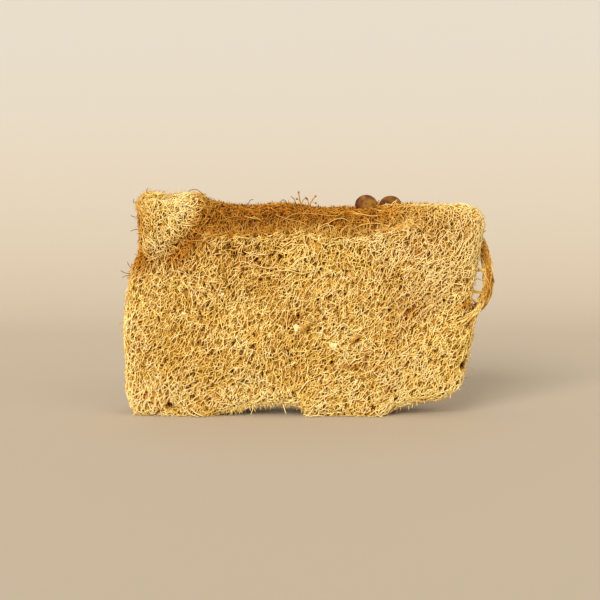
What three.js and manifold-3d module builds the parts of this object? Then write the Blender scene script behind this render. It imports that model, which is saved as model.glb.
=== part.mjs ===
// Natural loofah sponge: a pad of dried gourd fibre that stands on its long edge.
// Millimetres, +Z up. The broad front face looks towards -Y.
// The origin is on the ground, under the middle of the pad.

import * as THREE from 'three';
import { mergeVertices } from 'three/addons/utils/BufferGeometryUtils.js';
import Module from 'manifold-3d';

const wasm = await Module();
wasm.setup();

// Driving dimensions of the pad
const HALF_WIDTH = 91;
const HEIGHT = 104;
const HALF_THICK = 17;
const OUTLINE_ROUND = 5;
const FACE_ROUND = 8;

// Outline of the pad, seen from the front: [height, x] for the two ends
const LEFT_END = [
  [0, -86.5], [10, -90.3], [24, -91.5], [45, -91.3], [62, -89.7], [72, -87.8], [79, -84.8],
  [88, -83], [95, -83.6], [104, -84], [112, -82],
];
const RIGHT_END = [
  [0, 69], [9, 73.8], [16, 77], [24, 79.8], [32, 80.6], [45, 82.2],
  [57, 81.4], [70, 82.8], [86, 86], [95, 86.8], [102, 86.2], [110, 83],
];
// and [x, height] for the top and bottom edges
const TOP_EDGE = [
  [-92, 109], [-78, 110], [-73, 109.6], [-69, 108], [-65, 109], [-54, 109], [-47, 105.5],
  [-30, 103.5], [-12, 104.5], [6, 102.5], [24, 102.5], [48, 104], [70, 104], [80, 103.2], [92, 99],
];
const BOTTOM_EDGE = [
  [-92, -3], [-60, -3], [-50, -2.4], [-42, 1], [-29, 3.6], [-17, 5.8], [-8, 5.4],
  [-3, 3], [3, -1.5], [18, -3], [34, -2.6], [43, 3], [54, 6], [66, 8.2], [74, 11.6], [92, 16],
];

// The lip of the front wall, [x, height], and the trough behind it
const LIP_LINE = [
  [-60, 96], [-48, 91.5], [-20, 91], [-4, 92.5], [21, 89.5], [46, 94.5], [62, 100],
];
const TROUGH_DEPTH = 12.5;
const TROUGH_START = [-57, -38];
const TROUGH_FADE = [26, 66];
const LIP_SOFTNESS = 2.6;

// The slanting valley that parts the folded corner from the face, [x, height]
const CORNER_VALLEY = [[-53, 90], [-64, 79], [-88, 75]];
const VALLEY_DEPTH = 2.6;
const VALLEY_WIDTH = 6.5;

// Swells (out above 0) and dips (out below 0) of the front face
const FRONT_FORMS = [
  { x: -70, z: 96, wide: 15, tall: 13, out: 0.2 },
  { x: -66, z: 67, wide: 24, tall: 6, out: 1.5 },
  { x: -21, z: 78, wide: 14, tall: 7, out: -3 },
  { x: 30, z: 80, wide: 26, tall: 9, out: 1.5 },
  { x: 18, z: 26, wide: 30, tall: 4, out: -2 },
  { x: 81, z: 49, wide: 7, tall: 6, out: -4.5 },
  { x: -45, z: 30, wide: 22, tall: 18, out: 1 },
  { x: 60, z: 62, wide: 16, tall: 22, out: 1 },
];
// and of the back face
const BACK_FORMS = [
  { x: 0, z: 52, wide: 90, tall: 7, out: -3 },
  { x: -55, z: 78, wide: 22, tall: 12, out: 1.5 },
  { x: 40, z: 30, wide: 26, tall: 13, out: 1.5 },
  { x: 62, z: 84, wide: 14, tall: 14, out: -1.5 },
];
const EDGE_FALL = 4.5;
const WAVE_HEIGHT = 0.8;

// The seed canals of the gourd, cut across at both ends of the pad
const CANAL_HEIGHTS = [24, 55, 86];
const CANAL_DEPTH = 6;
const CANAL_HALF_WIDE = 5;
const CANAL_HALF_TALL = 8;

// The raised net of the surface
const NET_STEP = 4.9;
const NET_RAISE = 1.1;
const NET_SINK = 1.7;
const NET_UNEVEN = 0.3;
const NET_SCATTER = 0.2;

// Strands that lie across the net
const STRAND_COUNT = 24;
const STRAND_STEP = 7;
const STRAND_STEPS = [4, 9];
const STRAND_RADIUS = [1, 1.4];
const STRAND_TURN = 0.55;
const STRAND_LIFT = 1.4;
const ROOT_DEPTH = 3;

// Bristles that stand off the edges
const BRISTLE_COUNT = 44;
const BRISTLE_LENGTH = [2.2, 4];
const BRISTLE_RADIUS = 0.8;
const BRISTLE_LEAN = 0.6;

// The loose strip that loops out of the right end, [x, y, z]
const STRIP_ROUTE = [
  [78, -1, 93], [84, -2, 88], [87.2, -3, 81.5], [89, -3, 74], [89.6, -3, 66],
  [88.8, -3, 60.5], [87.1, -3, 56.4], [83, -2, 51.6], [76, 0, 48],
];
const STRIP_RADIUS = 2.3;
const STRIP_SIDES = 6;
const STRIP_STEPS = 12;
const THREAD_HEIGHTS = [71.5, 60.5];
const THREAD_RADIUS = 0.8;
const THREAD_SLOPE = 2;

// Forked sprigs that stand on the top edge, [x, y, z]
const SPRIGS = [
  { root: [-3.6, 2, 98], tips: [[-4.6, 0.5, 110], [-1.2, 1, 107.5]] },
  { root: [0.6, 2, 98], tips: [[3.8, 0.5, 108], [-0.6, 1.5, 107]] },
];
const SPRIG_RADIUS = 0.75;

// Two flat seeds caught in the top rim
const SEED_WIDE = 11.6;
const SEED_TALL = 10.4;
const SEED_THICK = 5.4;
const SEED_GAP = 0.35;
const SEEDS = [
  { name: 'seed_left', at: [29.2, 3.4, 103.8], lean: 0.16 },
  { name: 'seed_right', at: [41.1, 3.8, 103.4], lean: -0.12 },
];

// How finely the surface is measured, and how near two points are the same one
const SLOPE_STEP = 0.2;
const SETTLE_PASSES = 5;
const SAME_POINT = 1e-4;

// Seeded random numbers, so that every run grows the same sponge
let randomState = 20269;
function random() {
  randomState = (randomState + 0x6d2b79f5) | 0;
  let mixed = Math.imul(randomState ^ (randomState >>> 15), 1 | randomState);
  mixed = (mixed + Math.imul(mixed ^ (mixed >>> 7), 61 | mixed)) ^ mixed;
  return ((mixed ^ (mixed >>> 14)) >>> 0) / 4294967296;
}

function between([low, high]) {
  return low + (high - low) * random();
}

// Value at t of the smooth curve through [t, value] points
function follow(points, t) {
  const last = points.length - 1;
  let i = 0;
  while (i < last - 1 && t > points[i + 1][0]) i += 1;
  const slope = (k) => {
    const [before, after] = [points[Math.max(k - 1, 0)], points[Math.min(k + 1, last)]];
    return (after[1] - before[1]) / (after[0] - before[0]);
  };
  const span = points[i + 1][0] - points[i][0];
  const u = THREE.MathUtils.clamp((t - points[i][0]) / span, 0, 1);
  const blend = u * u * (3 - 2 * u);
  return (1 - blend) * points[i][1] + blend * points[i + 1][1]
    + span * u * (1 - u) * ((1 - u) * slope(i) - u * slope(i + 1));
}

function smooth(low, high, t) {
  return THREE.MathUtils.smoothstep(t, low, high);
}

function hill(form, x, z) {
  return form.out * Math.exp(-(((x - form.x) / form.wide) ** 2) - ((z - form.z) / form.tall) ** 2);
}

// Distance in the front view from (x, z) to the corner valley
function valleyDistance(x, z) {
  let nearest = Infinity;
  for (let i = 0; i < CORNER_VALLEY.length - 1; i += 1) {
    const [ax, az] = CORNER_VALLEY[i];
    const [bx, bz] = CORNER_VALLEY[i + 1];
    const [dx, dz] = [bx - ax, bz - az];
    const t = THREE.MathUtils.clamp(((x - ax) * dx + (z - az) * dz) / (dx * dx + dz * dz), 0, 1);
    nearest = Math.min(nearest, Math.hypot(x - ax - t * dx, z - az - t * dz));
  }
  return nearest;
}

function troughRecess(x, z) {
  const along = smooth(TROUGH_START[0], TROUGH_START[1], x) * (1 - smooth(...TROUGH_FADE, x));
  const above = smooth(-LIP_SOFTNESS, LIP_SOFTNESS, z - follow(LIP_LINE, x));
  return TROUGH_DEPTH * along * above;
}

function waves(x, z) {
  return WAVE_HEIGHT * (Math.sin(x / 7 + z / 11) + Math.sin(x / 13 - z / 6));
}

// y of the front and of the back face
function frontFace(x, z) {
  const recess = troughRecess(x, z)
    + VALLEY_DEPTH * Math.exp(-((valleyDistance(x, z) / VALLEY_WIDTH) ** 2))
    + EDGE_FALL * (Math.abs(x) / HALF_WIDTH) ** 5;
  const out = FRONT_FORMS.reduce((sum, form) => sum + hill(form, x, z), 0);
  return -HALF_THICK + recess - out + waves(x, z);
}

function backFace(x, z) {
  const out = BACK_FORMS.reduce((sum, form) => sum + hill(form, x, z), 0);
  return HALF_THICK - EDGE_FALL * (Math.abs(x) / HALF_WIDTH) ** 5 + out + waves(x + 40, z);
}

function canalRecess(y, z) {
  return CANAL_HEIGHTS.reduce((sum, height) => {
    const across = (y / CANAL_HALF_WIDE) ** 2 + ((z - height) / CANAL_HALF_TALL) ** 2;
    return sum + CANAL_DEPTH * Math.exp(-across * across);
  }, 0);
}

// Largest of two distances, with the edge between them rounded
function roundedMax(a, b, radius) {
  const [p, q] = [Math.max(a + radius, 0), Math.max(b + radius, 0)];
  return Math.hypot(p, q) + Math.min(Math.max(a, b) + radius, 0) - radius;
}

// Below 0 inside the pad, 0 on its surface
function distance(x, y, z) {
  const canal = canalRecess(y, z);
  const ends = Math.max(follow(LEFT_END, z) + canal - x, x - follow(RIGHT_END, z) + canal);
  const edges = Math.max(follow(BOTTOM_EDGE, x) - z, z - follow(TOP_EDGE, x));
  const faces = Math.max(frontFace(x, z) - y, y - backFace(x, z));
  return roundedMax(roundedMax(ends, edges, OUTLINE_ROUND), faces, FACE_ROUND);
}

function normalAt(point) {
  const step = SLOPE_STEP;
  const { x, y, z } = point;
  return new THREE.Vector3(
    distance(x + step, y, z) - distance(x - step, y, z),
    distance(x, y + step, z) - distance(x, y - step, z),
    distance(x, y, z + step) - distance(x, y, z - step),
  ).normalize();
}

// Move a point along the normals until it lies on the surface
function settle(point) {
  for (let pass = 0; pass < SETTLE_PASSES; pass += 1) {
    point.addScaledVector(normalAt(point), -distance(point.x, point.y, point.z));
  }
  return point;
}

// A closed solid for joining and cutting, from a geometry whose faces point out
function solidOf(geometry) {
  geometry.deleteAttribute('normal');
  geometry.deleteAttribute('uv');
  const merged = mergeVertices(geometry, SAME_POINT);
  const vertProperties = new Float32Array(merged.attributes.position.array);
  const triVerts = new Uint32Array(merged.index.array);
  return new wasm.Manifold(new wasm.Mesh({ numProp: 3, vertProperties, triVerts }));
}

function geometryOf(solid) {
  const { vertProperties, triVerts } = solid.getMesh();
  const geometry = new THREE.BufferGeometry();
  geometry.setAttribute('position', new THREE.BufferAttribute(vertProperties, 3));
  geometry.setIndex(new THREE.BufferAttribute(triVerts, 1));
  return geometry;
}

// The largest connected piece, without sealed hollows or loose scraps
function largestPiece(solid) {
  const pieces = solid.decompose();
  return pieces.reduce((best, piece) => (piece.volume() > best.volume() ? piece : best));
}

// Whether a corner of the box grid lies on a ridge of the net: every other one, each way
function onRidge(corner, counts) {
  const steps = corner.toArray().map((value, axis) => Math.round((value + 1) / 2 * counts[axis]));
  return (steps[0] + steps[1] + steps[2]) % 2 === 0;
}

// A box grid from -1 to 1 whose squares are all split between two corners on ridges
function ridgedGrid(counts) {
  const grid = new THREE.BoxGeometry(2, 2, 2, ...counts);
  const corner = new THREE.Vector3();
  const squares = grid.index.array;
  const order = [];
  for (let i = 0; i < squares.length; i += 6) {
    const [a, b, d, c] = [squares[i], squares[i + 1], squares[i + 2], squares[i + 4]];
    corner.fromBufferAttribute(grid.attributes.position, a);
    order.push(...(onRidge(corner, counts) ? [a, b, c, a, c, d] : [a, b, d, b, c, d]));
  }
  grid.setIndex(order);
  grid.deleteAttribute('normal');
  grid.deleteAttribute('uv');
  return mergeVertices(grid, SAME_POINT);
}

// The pad: the grid drawn onto the surface, with its ridges raised and the rest sunk, so that
// the ridges form a net with a pit in each mesh
function padSolid() {
  const counts = [2 * HALF_WIDTH, 2 * HALF_THICK, HEIGHT].map((size) => Math.round(size / NET_STEP));
  const net = ridgedGrid(counts);
  const places = net.attributes.position;
  const corner = new THREE.Vector3();
  for (let i = 0; i < places.count; i += 1) {
    corner.fromBufferAttribute(places, i);
    const shares = corner.toArray().map((value, axis) => {
      const scatter = Math.abs(value) > 0.999 ? 0 : NET_SCATTER * (2 * random() - 1);
      return (value + 1) / 2 + scatter / counts[axis];
    });
    const uneven = 1 + NET_UNEVEN * (2 * random() - 1);
    const height = uneven * (onRidge(corner, counts) ? NET_RAISE : -NET_SINK);
    const point = settle(onBox(...shares));
    point.addScaledVector(normalAt(point), height);
    places.setXYZ(i, point.x, point.y, point.z);
  }
  return solidOf(net);
}

// The point at shares u, v, w of the way across, through and up the pad
function onBox(u, v, w) {
  const { lerp } = THREE.MathUtils;
  const height = lerp(0, HEIGHT, w);
  const x = lerp(follow(LEFT_END, height), follow(RIGHT_END, height), u);
  const z = lerp(follow(BOTTOM_EDGE, x), follow(TOP_EDGE, x), w);
  return new THREE.Vector3(x, lerp(frontFace(x, z), backFace(x, z), v), z);
}

// A tube of few sides along a route
function tube(route, radius, sides, steps) {
  const corners = [];
  for (let i = 0; i < sides; i += 1) {
    const angle = (i / sides) * 2 * Math.PI;
    corners.push(new THREE.Vector2(radius * Math.cos(angle), radius * Math.sin(angle)));
  }
  const extrudePath = new THREE.CatmullRomCurve3(route);
  const shape = new THREE.Shape(corners);
  return solidOf(new THREE.ExtrudeGeometry(shape, { steps, extrudePath, bevelEnabled: false }));
}

// A wandering strand that lies on the net, with both ends sunk in
function strand() {
  const point = settle(onBox(random(), random() < 0.5 ? 0 : 1, random()));
  const heading = new THREE.Vector3(random() - 0.5, random() - 0.5, random() - 0.5);
  const steps = Math.round(between(STRAND_STEPS));
  const route = [];
  for (let i = 0; i <= steps; i += 1) {
    const normal = normalAt(point);
    heading.projectOnPlane(normal).normalize();
    const sunk = i === 0 || i === steps ? -ROOT_DEPTH : STRAND_LIFT;
    route.push(point.clone().addScaledVector(normal, sunk));
    heading.applyAxisAngle(normal, (random() - 0.5) * 2 * STRAND_TURN);
    point.addScaledVector(heading, STRAND_STEP);
    settle(point);
  }
  return tube(route, between(STRAND_RADIUS), 3, steps);
}

// A bristle that stands off an edge of the pad, leaning at random
function bristle() {
  const around = Math.floor(random() * 4);
  const share = random();
  const [u, w] = [[share, 0], [share, 1], [0, share], [1, share]][around];
  const point = settle(onBox(u, random(), w));
  const direction = normalAt(point);
  const lean = new THREE.Vector3(random() - 0.5, random() - 0.5, random() - 0.5);
  direction.addScaledVector(lean, 2 * BRISTLE_LEAN).normalize();
  const length = between(BRISTLE_LENGTH) + ROOT_DEPTH;
  const spike = new THREE.ConeGeometry(BRISTLE_RADIUS, length, 3);
  spike.translate(0, length / 2 - ROOT_DEPTH, 0);
  spike.applyQuaternion(new THREE.Quaternion().setFromUnitVectors(THREE.Object3D.DEFAULT_UP, direction));
  spike.translate(point.x, point.y, point.z);
  return solidOf(spike);
}

// The loose strip at the right end, with the threads that bridge its gap
function strip() {
  const route = STRIP_ROUTE.map((place) => new THREE.Vector3(...place));
  const parts = [tube(route, STRIP_RADIUS, STRIP_SIDES, STRIP_STEPS)];
  const curve = new THREE.CatmullRomCurve3(route);
  for (const height of THREAD_HEIGHTS) {
    const end = curve.getPoints(60).find((point) => point.z < height);
    const inside = follow(RIGHT_END, height) - CANAL_DEPTH - ROOT_DEPTH;
    const root = new THREE.Vector3(inside, end.y, height + THREAD_SLOPE);
    parts.push(tube([root, end.clone().lerp(root, 0.5), end], THREAD_RADIUS, 3, 2));
  }
  return parts;
}

// A forked sprig: one bent stem for each tip, from a shared root
function sprig({ root, tips }) {
  const base = new THREE.Vector3(...root);
  return tips.map((place) => {
    const tip = new THREE.Vector3(...place);
    const bend = new THREE.Vector3(base.x, base.y, (base.z + tip.z) / 2);
    return tube([base, bend, tip], SPRIG_RADIUS, 3, 2);
  });
}

// A flat oval seed, grown by a margin for the pocket that holds it
function seedGeometry({ at, lean }, margin = 0) {
  const seed = new THREE.SphereGeometry(0.5, 16, 10);
  seed.scale(SEED_WIDE + 2 * margin, SEED_THICK + 2 * margin, SEED_TALL + 2 * margin);
  seed.rotateY(lean);
  seed.translate(...at);
  return seed;
}

// Everything below the ground, which trims flat feet for the pad to stand on
function ground() {
  const depth = 20;
  const block = new THREE.BoxGeometry(4 * HALF_WIDTH, 8 * HALF_THICK, depth);
  block.translate(0, 0, -depth / 2);
  return solidOf(block);
}

function spongeGeometry() {
  const parts = [padSolid(), ...strip(), ...SPRIGS.flatMap(sprig)];
  for (let i = 0; i < STRAND_COUNT; i += 1) parts.push(strand());
  for (let i = 0; i < BRISTLE_COUNT; i += 1) parts.push(bristle());
  const pockets = SEEDS.map((seed) => solidOf(seedGeometry(seed, SEED_GAP)));
  const grown = wasm.Manifold.union(parts);
  const cut = wasm.Manifold.union([ground(), ...pockets]);
  return geometryOf(largestPiece(grown.subtract(cut)));
}

// The finished object
const fibre = new THREE.MeshStandardMaterial({ color: 0xd0a759, roughness: 0.9, metalness: 0 });
const seedCoat = new THREE.MeshStandardMaterial({ color: 0x8f5d33, roughness: 0.6, metalness: 0 });
const loofah = new THREE.Group();

const sponge = new THREE.Mesh(spongeGeometry(), fibre);
sponge.name = 'loofah_sponge';
loofah.add(sponge);

for (const seed of SEEDS) {
  const body = new THREE.Mesh(seedGeometry(seed), seedCoat);
  body.name = seed.name;
  loofah.add(body);
}

export default loofah;
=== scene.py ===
# Looks of a natural loofah sponge: a pad of felted gourd fibre that stands on its long edge.
# Shapes are worked out in millimetres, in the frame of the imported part, and written in metres.

import math

import bpy
import numpy as np
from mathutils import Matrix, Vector
from mathutils.kdtree import KDTree


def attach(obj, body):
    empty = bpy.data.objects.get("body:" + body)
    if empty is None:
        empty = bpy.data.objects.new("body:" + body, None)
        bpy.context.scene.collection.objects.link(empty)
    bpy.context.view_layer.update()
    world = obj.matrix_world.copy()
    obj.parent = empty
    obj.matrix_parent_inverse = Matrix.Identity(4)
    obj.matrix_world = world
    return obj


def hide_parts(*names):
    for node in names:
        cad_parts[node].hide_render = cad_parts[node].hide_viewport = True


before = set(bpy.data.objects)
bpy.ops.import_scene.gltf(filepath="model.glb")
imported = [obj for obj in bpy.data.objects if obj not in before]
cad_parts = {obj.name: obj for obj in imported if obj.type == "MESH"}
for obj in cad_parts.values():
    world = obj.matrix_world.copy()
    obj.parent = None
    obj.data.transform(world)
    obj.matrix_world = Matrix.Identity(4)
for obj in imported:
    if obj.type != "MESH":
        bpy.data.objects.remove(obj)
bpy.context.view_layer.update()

MM = 0.001
SEED = 11144
rng = np.random.default_rng(SEED)

# Driving dimensions of the pad
HALF_WIDTH = 91.0
HEIGHT = 104.0
HALF_THICK = 17.0
OUTLINE_ROUND = 5.0
FACE_ROUND = 8.0
EDGE_FALL = 4.5
WAVE_HEIGHT = 0.8

# Outline of the pad, seen from the front: (height, x) for the ends, (x, height) for the edges
LEFT_END = [
    (0, -86.5), (10, -90.3), (24, -91.5), (45, -91.3), (62, -89.7), (72, -87.8), (79, -84.8),
    (88, -83), (95, -83.6), (104, -84), (112, -82),
]
RIGHT_END = [
    (0, 69), (9, 73.8), (16, 77), (24, 79.8), (32, 80.6), (45, 82.2),
    (57, 81.4), (70, 82.8), (86, 86), (95, 86.8), (102, 86.2), (110, 83),
]
TOP_EDGE = [
    (-92, 109), (-78, 110), (-73, 109.6), (-69, 108), (-65, 109), (-54, 109), (-47, 105.5),
    (-30, 103.5), (-12, 104.5), (6, 102.5), (24, 102.5), (48, 104), (70, 104), (80, 103.2), (92, 99),
]
BOTTOM_EDGE = [
    (-92, -3), (-60, -3), (-50, -2.4), (-42, 1), (-29, 3.6), (-17, 5.8), (-8, 5.4),
    (-3, 3), (3, -1.5), (18, -3), (34, -2.6), (43, 3), (54, 6), (66, 8.2), (74, 11.6), (92, 16),
]

# The lip of the front wall, (x, height), and the trough behind it
LIP_LINE = [
    (-60, 96), (-48, 91.5), (-20, 91), (-4, 92.5), (21, 89.5), (46, 94.5), (62, 100),
]
TROUGH_DEPTH = 12.5
TROUGH_START = (-57, -38)
TROUGH_FADE = (26, 66)
LIP_SOFTNESS = 2.6

# The slanting valley that parts the folded corner from the face, (x, height)
CORNER_VALLEY = [(-53, 90), (-64, 79), (-88, 75)]
VALLEY_DEPTH = 2.6
VALLEY_WIDTH = 6.5

# Swells (out above 0) and dips (out below 0): x, z, half width, half height, out
FRONT_FORMS = [
    (-70, 96, 15, 13, 0.2), (-66, 67, 24, 6, 1.5), (-21, 78, 14, 7, -3), (30, 80, 26, 9, 1.5),
    (18, 26, 30, 4, -2), (81, 49, 7, 6, -4.5), (-45, 30, 22, 18, 1), (60, 62, 16, 22, 1),
]
BACK_FORMS = [
    (0, 52, 90, 7, -3), (-55, 78, 22, 12, 1.5), (40, 30, 26, 13, 1.5), (62, 84, 14, 14, -1.5),
]

# The seed canals of the gourd, cut across at both ends of the pad
CANAL_HEIGHTS = (24, 55, 86)
CANAL_DEPTH = 6.0
CANAL_HALF_WIDE = 5.0
CANAL_HALF_TALL = 8.0


CURVE_SAMPLES = 800


def curve(points):
    """A smooth curve through (t, value) points, as a function of an array of t."""
    t, value = np.array(points, float).T
    slope = np.gradient(value, t)
    slope[1:-1] = (value[2:] - value[:-2]) / (t[2:] - t[:-2])
    fine = np.linspace(t[0], t[-1], CURVE_SAMPLES)
    i = np.clip(np.searchsorted(t, fine) - 1, 0, len(t) - 2)
    span = t[i + 1] - t[i]
    u = (fine - t[i]) / span
    blend = u * u * (3 - 2 * u)
    smooth_value = (1 - blend) * value[i] + blend * value[i + 1]
    smooth_value += span * u * (1 - u) * ((1 - u) * slope[i] - u * slope[i + 1])
    return lambda at: np.interp(at, fine, smooth_value)


left_end = curve(LEFT_END)
right_end = curve(RIGHT_END)
top_edge = curve(TOP_EDGE)
bottom_edge = curve(BOTTOM_EDGE)
lip_line = curve(LIP_LINE)


def smoothstep(low, high, t):
    u = np.clip((t - low) / (high - low), 0, 1)
    return u * u * (3 - 2 * u)


def stacked(*values):
    """Arrays side by side along a new last axis."""
    return np.stack(values, axis=-1)


def forms(rows, x, z):
    """Soft ovals added up: x, z, half width, half height, amount."""
    total = np.zeros_like(x)
    for at_x, at_z, wide, tall, out in rows:
        total += out * np.exp(-(((x - at_x) / wide) ** 2) - ((z - at_z) / tall) ** 2)
    return total


def valley_distance(x, z):
    nearest = np.full_like(x, np.inf)
    for (ax, az), (bx, bz) in zip(CORNER_VALLEY, CORNER_VALLEY[1:]):
        dx, dz = bx - ax, bz - az
        t = np.clip(((x - ax) * dx + (z - az) * dz) / (dx * dx + dz * dz), 0, 1)
        nearest = np.minimum(nearest, np.hypot(x - ax - t * dx, z - az - t * dz))
    return nearest


def trough_share(x, z):
    """1 in the trough behind the lip, 0 outside it."""
    along = smoothstep(*TROUGH_START, x) * (1 - smoothstep(*TROUGH_FADE, x))
    return along * smoothstep(-LIP_SOFTNESS, LIP_SOFTNESS, z - lip_line(x))


def valley_share(x, z):
    return np.exp(-((valley_distance(x, z) / VALLEY_WIDTH) ** 2))


def edge_fall(x):
    return EDGE_FALL * (np.abs(x) / HALF_WIDTH) ** 5


def waves(x, z):
    return WAVE_HEIGHT * (np.sin(x / 7 + z / 11) + np.sin(x / 13 - z / 6))


def front_face(x, z):
    recess = TROUGH_DEPTH * trough_share(x, z) + VALLEY_DEPTH * valley_share(x, z) + edge_fall(x)
    return -HALF_THICK + recess - forms(FRONT_FORMS, x, z) + waves(x, z)


def back_face(x, z):
    return HALF_THICK - edge_fall(x) + forms(BACK_FORMS, x, z) + waves(x + 40, z)


def canal_recess(y, z):
    total = np.zeros_like(y)
    for height in CANAL_HEIGHTS:
        across = (y / CANAL_HALF_WIDE) ** 2 + ((z - height) / CANAL_HALF_TALL) ** 2
        total += CANAL_DEPTH * np.exp(-across * across)
    return total


def rounded_max(a, b, radius):
    corner = np.hypot(np.maximum(a + radius, 0), np.maximum(b + radius, 0))
    return corner + np.minimum(np.maximum(a, b) + radius, 0) - radius


def distance(points):
    """Below 0 inside the pad, 0 on its surface."""
    x, y, z = np.moveaxis(points, -1, 0)
    canal = canal_recess(y, z)
    ends = np.maximum(left_end(z) + canal - x, x - right_end(z) + canal)
    edges = np.maximum(bottom_edge(x) - z, z - top_edge(x))
    faces = np.maximum(front_face(x, z) - y, y - back_face(x, z))
    return rounded_max(rounded_max(ends, edges, OUTLINE_ROUND), faces, FACE_ROUND)


TETRAHEDRON = np.array([(1, -1, -1), (-1, -1, 1), (-1, 1, -1), (1, 1, 1)], float)
PROBE = 0.25


def unit(vectors):
    return vectors / np.maximum(np.linalg.norm(vectors, axis=-1, keepdims=True), 1e-9)


def measure(points):
    """Outward normals and distances of points, from four probes round each."""
    total = np.zeros_like(points)
    mean = np.zeros(points.shape[:-1])
    for arm in TETRAHEDRON * PROBE:
        value = distance(points + arm)
        total += arm * value[..., None]
        mean += value / 4
    return unit(total), mean


def settle(points, passes=1):
    """Points moved onto the surface, and the normals there."""
    for _ in range(passes):
        normal, height = measure(points)
        points = points - normal * height[..., None]
    return points, normal


def on_box(u, v, w):
    """Points at shares u, v, w of the way across, through and up the pad."""
    height = HEIGHT * w
    x = left_end(height) + (right_end(height) - left_end(height)) * u
    z = bottom_edge(x) + (top_edge(x) - bottom_edge(x)) * w
    y = front_face(x, z) + (back_face(x, z) - front_face(x, z)) * v
    return stacked(x, y, z)


# Slow random swells, used for mottling and for uneven fibre
MOTTLE_WAVES = 9
MOTTLE_PACE = (0.6, 1.5)
MOTTLE_WAVE_LENGTH = 3.2
MOTTLE_LIMIT = 1.6


def mottle(points, size):
    """Smooth noise of -1 to 1 with lumps of the given size in mm."""
    draw = np.random.default_rng(SEED + int(size * 10))
    total = np.zeros(points.shape[:-1])
    for _ in range(MOTTLE_WAVES):
        direction = unit(draw.normal(size=3)) * draw.uniform(*MOTTLE_PACE)
        wave = direction * 2 * math.pi / (MOTTLE_WAVE_LENGTH * size)
        total += np.sin(points @ wave + draw.uniform(0, 2 * math.pi))
    return np.clip(total / math.sqrt(MOTTLE_WAVES), -MOTTLE_LIMIT, MOTTLE_LIMIT) / MOTTLE_LIMIT


def mottles(points, layers):
    """Layers of noise (strength, size) added up."""
    return sum(strength * mottle(points, size) for strength, size in layers)


def front_only(y):
    """1 on the front, fading to 0 towards the back."""
    return smoothstep(9, -3, y)


# Where the front is browner, or less so: x, z, half width, half height, amount. Some spots are the fibre's
# own brown; others are painted shade along the lip, in the folded corner's valley and left margin, in creases
# and round pits, and in the hollow at the strip's foot
STAIN_AND_SHADE_SPOTS = [
    (-83.5, 98, 5, 12, 0.55), (-83.5, 78, 5, 7, 0.55), (-80, 92, 8, 6, 0.12), (-72, 96, 4, 8, 0.14),
    (-56, 93, 4.5, 7, 0.35), (-60, 83, 8, 7, 0.36), (-67, 77, 6, 4, 0.38), (-74, 83, 6, 5, -0.3),
    (-66.5, 108.5, 3.5, 2, 0.45), (-84, 40, 14, 34, 0.1), (-30, 79, 20, 9, 0.22), (-28, 92.4, 17, 2.2, 0.65),
    (9, 89.6, 15, 2.4, 0.4), (30, 97, 30, 6, 0.3), (64, 98, 20, 8, 0.26), (60, 92.5, 6, 2.6, 0.25),
    (77, 91, 3, 3, 0.35), (58, 78, 30, 22, 0.32), (58, 58, 16, 8, 0.16), (79.5, 55, 5, 3.4, 1.0),
    (50, 50, 9, 6, 0.32), (51, 51.5, 4, 2, 0.35), (42, 38, 5, 4, 0.2), (18, 25, 34, 2, 0.3),
    (21, 24.6, 8, 1.4, 0.5), (-10, 48, 5, 3, 0.4), (14, 52, 2.5, 3.5, 0.4), (-14, 64, 20, 6, 0.1),
]
# The trough behind the lip is browner: brown fibre together with painted shade of the recess.
TROUGH_BROWN_AND_SHADE_START = (-60, -50)
TROUGH_BROWN_AND_SHADE_EDGE = (-2.4, 1.4)
TROUGH_BROWN_AND_SHADE_WANDER = 2.0
TROUGH_BROWN_AND_SHADE_DEPTH = (17, 10)
# Painted shade in the crease of the corner valley.
VALLEY_SHADE = 0.62
VALLEY_SHADE_RISE = (70, 88)
# Painted shade in the seed canal hollows at both ends, deepest where the canals are deepest.
CANAL_SHADE = 0.5
CANAL_SHADE_START = (70, 82)
STAIN_BASE = 0.02
STAIN_MOTTLES = [(0.19, 16), (0.16, 5)]


def stain_and_shade_at(points):
    """How brown the fibre is: 0 is golden and 1 is all brown. Besides real brown it holds painted shade in
    the trough, the corner valley, the seed canals and some creases and hollows.
    """
    x, y, z = np.moveaxis(points, -1, 0)
    # The trough: brown fibre, with painted shade of the recess.
    trough = smoothstep(*TROUGH_BROWN_AND_SHADE_START, x) * (1 - smoothstep(*TROUGH_FADE, x))
    above_lip = z - lip_line(x) + TROUGH_BROWN_AND_SHADE_WANDER * mottle(points, 3)
    trough = trough * smoothstep(*TROUGH_BROWN_AND_SHADE_EDGE, above_lip) * smoothstep(*TROUGH_BROWN_AND_SHADE_DEPTH, y)
    # Painted shade in the corner valley's crease.
    valley = VALLEY_SHADE * valley_share(x, z) * (0.6 + 0.4 * smoothstep(*VALLEY_SHADE_RISE, z))
    # Brown spots, some of them painted shade along the lip and in creases and hollows.
    spots = front_only(y) * (valley + forms(STAIN_AND_SHADE_SPOTS, x, z))
    # Painted shade in the seed canal hollows.
    ends = CANAL_SHADE * canal_recess(y, z) / CANAL_DEPTH * smoothstep(*CANAL_SHADE_START, np.abs(x))
    return trough + spots + ends + STAIN_BASE + mottles(points, STAIN_MOTTLES)


# Small lumps and hollows of the whole surface: height, size
LUMPS = [(0.45, 5), (0.2, 2.6)]

# Below this height the fibre is pressed flat on the ground
GROUND_PRESS = 1.0


def above_ground(points):
    """Points with the lowest ones squeezed together, so that none is below the ground."""
    z = points[..., 2]
    pressed = GROUND_PRESS * np.exp(np.minimum(z / GROUND_PRESS - 1, 0))
    return np.concatenate([points[..., :2], np.where(z < GROUND_PRESS, pressed, z)[..., None]], axis=-1)


def add_object(name, data):
    """A new object in the scene."""
    added = bpy.data.objects.new(name, data)
    bpy.context.scene.collection.objects.link(added)
    return added


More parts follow.
